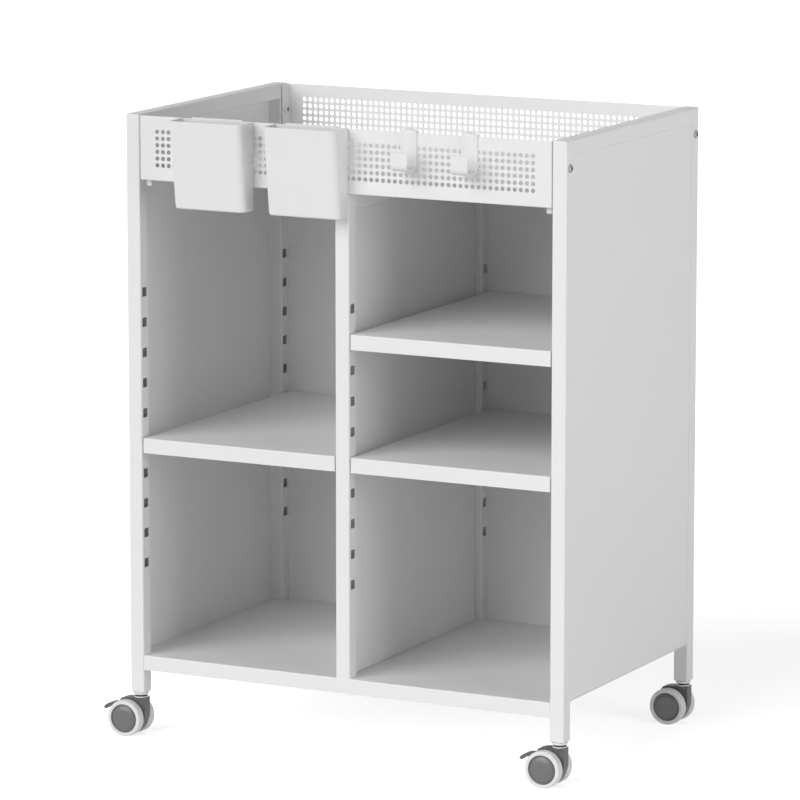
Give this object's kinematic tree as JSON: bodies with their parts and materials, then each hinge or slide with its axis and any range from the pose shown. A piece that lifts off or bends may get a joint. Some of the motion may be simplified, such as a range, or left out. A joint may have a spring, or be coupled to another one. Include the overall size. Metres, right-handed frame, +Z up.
{
  "type": "mobile bookcase",
  "caption": "White steel bookcase on braked twin-wheel casters, with divided bays, hooked height-adjustable shelves, a perforated-rail top tray, hanging cups and hooks.",
  "frame": {"origin": "on the floor, under the middle of the whole object's footprint, casters, levers, cups and bolt heads included", "axes": "+Z up, +Y from the open front with the cups towards the closed back, +X to the right as seen from the front"},
  "size_m": [0.6455, 0.4324, 0.7895],
  "materials": {
    "powder_white": "satin white powder coat with a fine texture",
    "moulded_white": "satin white moulded plastic",
    "moulded_grey": "satin dark grey moulded plastic",
    "tyre_grey": "matt pale grey tyre",
    "plated_steel": "bright zinc plating"
  },
  "bodies": {
    "carcass": {"left_front_post": "powder_white", "right_front_post": "powder_white", "left_rear_post": "powder_white", "right_rear_post": "powder_white", "left_top_rail": "powder_white", "right_top_rail": "powder_white", "left_side_panel": "powder_white", "right_side_panel": "powder_white", "divider_front_post": "powder_white", "divider_rear_post": "powder_white", "divider_top_rail": "powder_white", "divider_panel": "powder_white", "left_back_panel": "powder_white", "right_back_panel": "powder_white", "bottom_shelf": "powder_white", "top_shelf": "powder_white", "front_rail": "powder_white", "rear_rail": "powder_white", "left_front_bolt": "plated_steel", "left_rear_bolt": "plated_steel", "right_front_bolt": "plated_steel", "right_rear_bolt": "plated_steel", "caster_front_left_stem": "moulded_white", "caster_front_right_stem": "moulded_white", "caster_rear_left_stem": "moulded_white", "caster_rear_right_stem": "moulded_white"},
    "left_shelf": {"left_shelf": "powder_white"},
    "right_upper_shelf": {"right_upper_shelf": "powder_white"},
    "right_lower_shelf": {"right_lower_shelf": "powder_white"},
    "left_cup": {"left_cup": "moulded_white"},
    "right_cup": {"right_cup": "moulded_white"},
    "left_hook": {"left_hook": "moulded_white"},
    "right_hook": {"right_hook": "moulded_white"},
    "front_left_swivel": {"caster_front_left_body": "moulded_grey", "caster_front_left_axle": "plated_steel"},
    "front_left_front_roller": {"caster_front_left_front_wheel": "tyre_grey", "caster_front_left_front_cap": "moulded_grey"},
    "front_left_rear_roller": {"caster_front_left_rear_wheel": "tyre_grey", "caster_front_left_rear_cap": "moulded_grey"},
    "front_left_brake": {"caster_front_left_lever": "moulded_grey"},
    "front_right_swivel": {"caster_front_right_body": "moulded_grey", "caster_front_right_axle": "plated_steel"},
    "front_right_front_roller": {"caster_front_right_front_wheel": "tyre_grey", "caster_front_right_front_cap": "moulded_grey"},
    "front_right_rear_roller": {"caster_front_right_rear_wheel": "tyre_grey", "caster_front_right_rear_cap": "moulded_grey"},
    "front_right_brake": {"caster_front_right_lever": "moulded_grey"},
    "rear_left_swivel": {"caster_rear_left_body": "moulded_grey", "caster_rear_left_axle": "plated_steel"},
    "rear_left_front_roller": {"caster_rear_left_front_wheel": "tyre_grey", "caster_rear_left_front_cap": "moulded_grey"},
    "rear_left_rear_roller": {"caster_rear_left_rear_wheel": "tyre_grey", "caster_rear_left_rear_cap": "moulded_grey"},
    "rear_right_swivel": {"caster_rear_right_body": "moulded_grey", "caster_rear_right_axle": "plated_steel"},
    "rear_right_front_roller": {"caster_rear_right_front_wheel": "tyre_grey", "caster_rear_right_front_cap": "moulded_grey"},
    "rear_right_rear_roller": {"caster_rear_right_rear_wheel": "tyre_grey", "caster_rear_right_rear_cap": "moulded_grey"}
  },
  "joints": [
    {"name": "left_shelf_lift", "type": "slide", "parent": "carcass", "child": "left_shelf", "axis": [0, 0, 1], "range_m": [0, 0.006]},
    {"name": "right_upper_shelf_lift", "type": "slide", "parent": "carcass", "child": "right_upper_shelf", "axis": [0, 0, 1], "range_m": [0, 0.006]},
    {"name": "right_lower_shelf_lift", "type": "slide", "parent": "carcass", "child": "right_lower_shelf", "axis": [0, 0, 1], "range_m": [0, 0.006]},
    {"name": "left_cup_slide", "type": "slide", "parent": "carcass", "child": "left_cup", "axis": [1, 0, 0], "range_m": [-0.07, 0.029]},
    {"name": "right_cup_slide", "type": "slide", "parent": "carcass", "child": "right_cup", "axis": [1, 0, 0], "range_m": [-0.029, 0.07]},
    {"name": "left_hook_slide", "type": "slide", "parent": "carcass", "child": "left_hook", "axis": [1, 0, 0], "range_m": [-0.07, 0.058]},
    {"name": "right_hook_slide", "type": "slide", "parent": "carcass", "child": "right_hook", "axis": [1, 0, 0], "range_m": [-0.058, 0.095]},
    {"name": "front_left_swivel_turn", "type": "hinge", "parent": "carcass", "child": "front_left_swivel", "pos_m": [-0.27041, -0.1704, 0.049], "axis": [0, 0, 1], "continuous": true},
    {"name": "front_left_front_roll", "type": "hinge", "parent": "front_left_swivel", "child": "front_left_front_roller", "pos_m": [-0.28541, -0.1704, 0.023], "axis": [0, 1, 0], "continuous": true},
    {"name": "front_left_rear_roll", "type": "hinge", "parent": "front_left_swivel", "child": "front_left_rear_roller", "pos_m": [-0.28541, -0.1704, 0.023], "axis": [0, 1, 0], "continuous": true},
    {"name": "front_left_brake_press", "type": "hinge", "parent": "front_left_swivel", "child": "front_left_brake", "pos_m": [-0.29551, -0.1704, 0.0356], "axis": [0, -1, 0], "range_deg": [0, 20]},
    {"name": "front_right_swivel_turn", "type": "hinge", "parent": "carcass", "child": "front_right_swivel", "pos_m": [0.31059, -0.1704, 0.049], "axis": [0, 0, 1], "continuous": true},
    {"name": "front_right_front_roll", "type": "hinge", "parent": "front_right_swivel", "child": "front_right_front_roller", "pos_m": [0.29559, -0.1704, 0.023], "axis": [0, 1, 0], "continuous": true},
    {"name": "front_right_rear_roll", "type": "hinge", "parent": "front_right_swivel", "child": "front_right_rear_roller", "pos_m": [0.29559, -0.1704, 0.023], "axis": [0, 1, 0], "continuous": true},
    {"name": "front_right_brake_press", "type": "hinge", "parent": "front_right_swivel", "child": "front_right_brake", "pos_m": [0.28549, -0.1704, 0.0356], "axis": [0, -1, 0], "range_deg": [0, 20]},
    {"name": "rear_left_swivel_turn", "type": "hinge", "parent": "carcass", "child": "rear_left_swivel", "pos_m": [-0.27041, 0.1956, 0.049], "axis": [0, 0, 1], "continuous": true},
    {"name": "rear_left_front_roll", "type": "hinge", "parent": "rear_left_swivel", "child": "rear_left_front_roller", "pos_m": [-0.28541, 0.1956, 0.023], "axis": [0, 1, 0], "continuous": true},
    {"name": "rear_left_rear_roll", "type": "hinge", "parent": "rear_left_swivel", "child": "rear_left_rear_roller", "pos_m": [-0.28541, 0.1956, 0.023], "axis": [0, 1, 0], "continuous": true},
    {"name": "rear_right_swivel_turn", "type": "hinge", "parent": "carcass", "child": "rear_right_swivel", "pos_m": [0.31059, 0.1956, 0.049], "axis": [0, 0, 1], "continuous": true},
    {"name": "rear_right_front_roll", "type": "hinge", "parent": "rear_right_swivel", "child": "rear_right_front_roller", "pos_m": [0.29559, 0.1956, 0.023], "axis": [0, 1, 0], "continuous": true},
    {"name": "rear_right_rear_roll", "type": "hinge", "parent": "rear_right_swivel", "child": "rear_right_rear_roller", "pos_m": [0.29559, 0.1956, 0.023], "axis": [0, 1, 0], "continuous": true}
  ]
}
